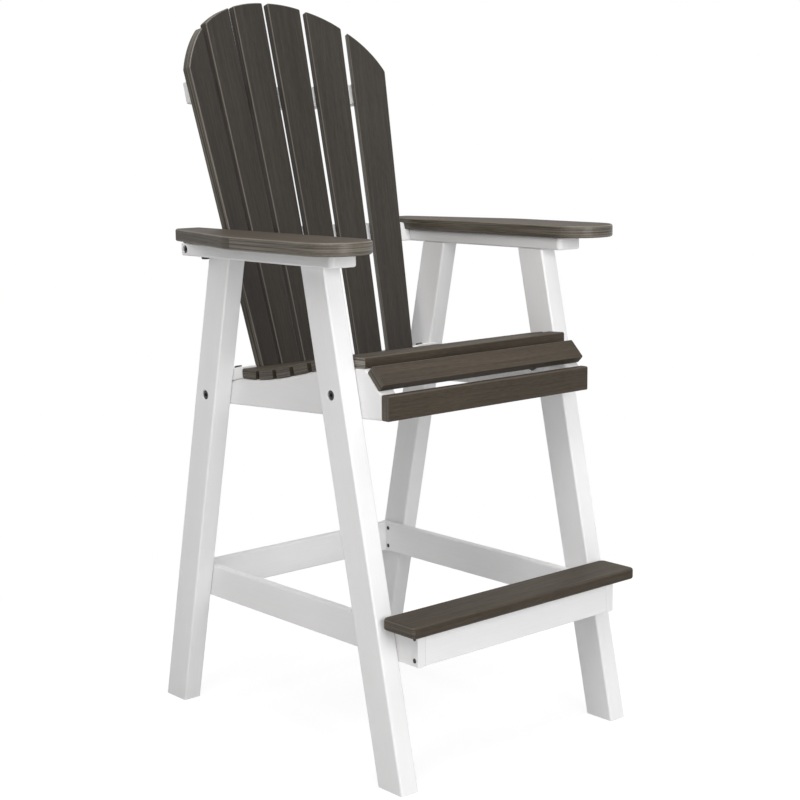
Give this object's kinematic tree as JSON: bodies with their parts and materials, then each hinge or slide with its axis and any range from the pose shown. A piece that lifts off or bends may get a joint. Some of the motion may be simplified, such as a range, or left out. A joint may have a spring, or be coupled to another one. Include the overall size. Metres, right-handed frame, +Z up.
{
  "type": "bar chair",
  "caption": "Bar-height armchair with a fanned slat back, a scooped slat seat, leaning board legs, flat paddle armrests and a footrest, in white and brown poly-lumber boards.",
  "frame": {"origin": "on the floor, under the middle of the chair's box", "axes": "+Z up, -Y towards the front of the chair, +X towards the sitter's left hand"},
  "size_m": [0.7792, 0.8198, 1.4716],
  "materials": {
    "white_lumber": "satin",
    "brown_lumber": "brushed",
    "dark_hardware": "satin"
  },
  "bodies": {
    "root": {"front_leg_left": "white_lumber", "front_leg_right": "white_lumber", "rear_leg_left": "white_lumber", "rear_leg_right": "white_lumber", "arm_rail_left": "white_lumber", "arm_rail_right": "white_lumber", "seat_rail_left": "white_lumber", "seat_rail_right": "white_lumber", "side_stretcher_left": "white_lumber", "side_stretcher_right": "white_lumber", "front_stretcher": "white_lumber", "rear_stretcher": "white_lumber", "upper_back_brace": "white_lumber", "middle_back_brace": "white_lumber", "lower_back_brace": "white_lumber", "armrest_left": "brown_lumber", "armrest_right": "brown_lumber", "seat_slat_1": "brown_lumber", "seat_slat_2": "brown_lumber", "seat_slat_3": "brown_lumber", "seat_slat_4": "brown_lumber", "seat_slat_5": "brown_lumber", "seat_slat_6": "brown_lumber", "seat_slat_7": "brown_lumber", "seat_nose_slat": "brown_lumber", "seat_apron": "brown_lumber", "back_slat_1": "brown_lumber", "back_slat_2": "brown_lumber", "back_slat_3": "brown_lumber", "back_slat_4": "brown_lumber", "back_slat_5": "brown_lumber", "back_slat_6": "brown_lumber", "footrest_board": "brown_lumber", "seat_bolt_front_left": "dark_hardware", "seat_bolt_front_right": "dark_hardware", "seat_bolt_rear_left": "dark_hardware", "seat_bolt_rear_right": "dark_hardware", "seat_nut_front_left": "dark_hardware", "seat_nut_front_right": "dark_hardware", "seat_nut_rear_left": "dark_hardware", "seat_nut_rear_right": "dark_hardware", "arm_bolt_left": "dark_hardware", "arm_bolt_right": "dark_hardware", "arm_screw_left": "dark_hardware", "arm_screw_right": "dark_hardware", "brace_screw_left": "dark_hardware", "brace_screw_right": "dark_hardware", "stretcher_screw_upper_left": "dark_hardware", "stretcher_screw_upper_right": "dark_hardware", "stretcher_screw_lower_left": "dark_hardware", "stretcher_screw_lower_right": "dark_hardware", "front_leg_screw_upper_left": "dark_hardware", "front_leg_screw_upper_right": "dark_hardware", "front_leg_screw_lower_left": "dark_hardware", "front_leg_screw_lower_right": "dark_hardware", "rear_leg_screw_upper_left": "dark_hardware", "rear_leg_screw_upper_right": "dark_hardware", "rear_leg_screw_lower_left": "dark_hardware", "rear_leg_screw_lower_right": "dark_hardware"}
  },
  "joints": []
}
